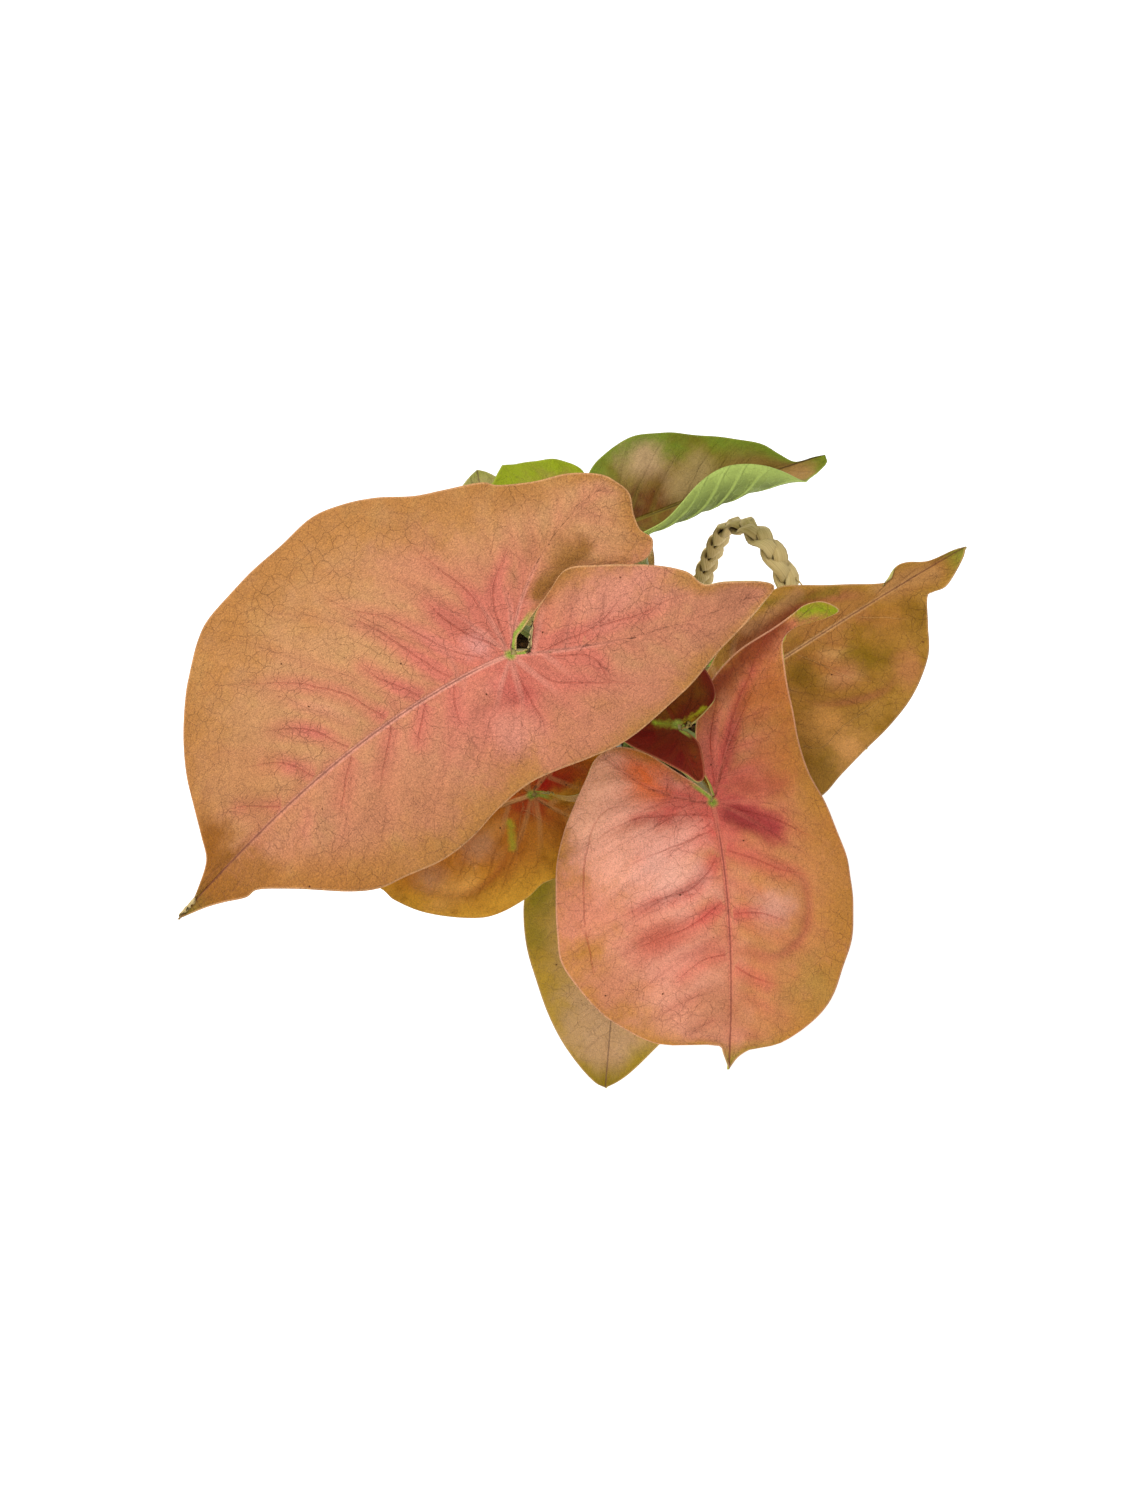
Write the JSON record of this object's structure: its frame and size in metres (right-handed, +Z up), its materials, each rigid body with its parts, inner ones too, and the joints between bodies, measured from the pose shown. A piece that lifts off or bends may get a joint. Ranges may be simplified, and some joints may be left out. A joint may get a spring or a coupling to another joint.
{
  "type": "arrowhead plant in a basket",
  "caption": "Pink arrowhead plant: arrow-shaped leaves on long stalks from short stems in a nursery pot, set in a straw basket with plaited loop handles; stands on its flat base.",
  "frame": {"origin": "middle of the basket's underside, where it stands", "axes": "+Z up, +X through the two handles; the picture was taken from azimuth -34 degrees, with +X to the back right"},
  "size_m": [0.2679, 0.2282, 0.2381],
  "materials": {
    "straw": "matte",
    "plaited_straw": "matte",
    "pot_plastic": "satin",
    "potting_soil": "matte",
    "leaf_stalk": "satin",
    "leaf_pink": "satin",
    "leaf_rose": "satin",
    "leaf_tan": "satin",
    "leaf_olive": "satin",
    "leaf_lime": "satin",
    "leaf_green": "satin"
  },
  "bodies": {
    "root": {"basket": "straw", "handle_right": "plaited_straw", "handle_left": "plaited_straw", "nursery_pot": "pot_plastic", "soil": "potting_soil", "stem_left": "leaf_stalk", "stem_front": "leaf_stalk", "stem_right": "leaf_stalk", "stem_back": "leaf_stalk", "leaf_top": "leaf_pink", "leaf_front": "leaf_rose", "leaf_right": "leaf_tan", "leaf_back_right": "leaf_olive", "leaf_back": "leaf_lime", "leaf_back_left": "leaf_olive", "leaf_left_low": "leaf_tan", "leaf_centre": "leaf_tan", "leaf_front_low": "leaf_olive", "leaf_inner": "leaf_green", "leaf_left": "leaf_tan", "leaf_back_low": "leaf_olive", "leaf_right_low": "leaf_tan", "leaf_rear_low": "leaf_olive"}
  },
  "joints": []
}
